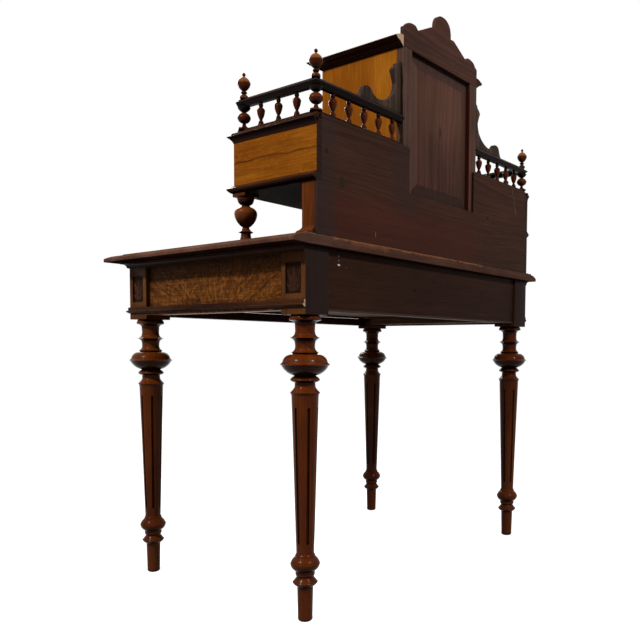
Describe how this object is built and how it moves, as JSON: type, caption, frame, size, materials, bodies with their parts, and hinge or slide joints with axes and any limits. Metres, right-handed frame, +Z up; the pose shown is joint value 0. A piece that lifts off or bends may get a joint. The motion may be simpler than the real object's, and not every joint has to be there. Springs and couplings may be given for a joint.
{
  "type": "bonheur du jour",
  "caption": "Lady's walnut writing desk on turned fluted legs, with one drawer below and two small drawers, a balustrade and a middle cabinet above.",
  "frame": {"origin": "on the floor below the middle of the object's bounding box", "axes": "+Z up, -Y towards the sitter, +X to the sitter's right"},
  "size_m": [1.0148, 0.6503, 1.3476],
  "materials": {
    "dark_walnut": "polished dark reddish-brown walnut",
    "veneer": "satin figured golden walnut veneer",
    "stained_back": "dull dark-stained softwood",
    "drawer_lining": "plain planed softwood",
    "brass": "aged brass"
  },
  "bodies": {
    "root": {"leg_front_left": "dark_walnut", "leg_front_right": "dark_walnut", "leg_back_left": "dark_walnut", "leg_back_right": "dark_walnut", "post_front_left": "dark_walnut", "post_front_right": "dark_walnut", "post_back_left": "dark_walnut", "post_back_right": "dark_walnut", "bead_mouldings": "dark_walnut", "under_mouldings": "dark_walnut", "desk_top": "dark_walnut", "front_rail_lower": "dark_walnut", "front_rail_upper": "dark_walnut", "ball_column_left": "dark_walnut", "ball_column_right": "dark_walnut", "box_mouldings_left": "dark_walnut", "box_mouldings_right": "dark_walnut", "gallery_posts": "dark_walnut", "gallery_finials": "dark_walnut", "gallery_balusters": "dark_walnut", "gallery_rails_left": "dark_walnut", "gallery_rails_right": "dark_walnut", "wing_bracket_left": "dark_walnut", "wing_bracket_right": "dark_walnut", "cabinet_cornice": "dark_walnut", "box_top_left": "dark_walnut", "box_top_right": "dark_walnut", "apron_left": "veneer", "apron_right": "veneer", "box_side_left": "veneer", "box_side_right": "veneer", "cabinet_side_left": "veneer", "cabinet_side_right": "veneer", "rear_post_left": "veneer", "rear_post_right": "veneer", "apron_back": "stained_back", "back_panel": "stained_back", "cabinet_back_frame": "stained_back", "cabinet_back_panel": "stained_back", "drawer_runners": "drawer_lining", "box_floor_left": "drawer_lining", "box_floor_right": "drawer_lining", "cabinet_floor": "drawer_lining", "cabinet_top": "drawer_lining", "cabinet_shelf": "drawer_lining", "door_hinge_pins": "brass"},
    "desk_drawer": {"desk_drawer_knobs": "dark_walnut", "desk_drawer_front": "veneer", "desk_drawer_tray": "drawer_lining", "desk_drawer_escutcheon": "brass"},
    "small_drawer_left": {"small_drawer_left_knob": "dark_walnut", "small_drawer_left_front": "veneer", "small_drawer_left_tray": "drawer_lining"},
    "small_drawer_right": {"small_drawer_right_knob": "dark_walnut", "small_drawer_right_front": "veneer", "small_drawer_right_tray": "drawer_lining"},
    "door": {"door_frame": "dark_walnut", "door_panel": "veneer", "door_knob": "dark_walnut", "door_hinge_leaves": "brass"}
  },
  "joints": [
    {"name": "desk_drawer_slide", "type": "slide", "parent": "root", "child": "desk_drawer", "axis": [0, -1, 0], "range_m": [0, 0.33]},
    {"name": "small_drawer_left_slide", "type": "slide", "parent": "root", "child": "small_drawer_left", "axis": [0, -1, 0], "range_m": [0, 0.15]},
    {"name": "small_drawer_right_slide", "type": "slide", "parent": "root", "child": "small_drawer_right", "axis": [0, -1, 0], "range_m": [0, 0.15]},
    {"name": "door_hinge", "type": "hinge", "parent": "root", "child": "door", "pos_m": [-0.1439, 0.06375, 1], "axis": [0, 0, -1], "range_deg": [0, 95]}
  ]
}
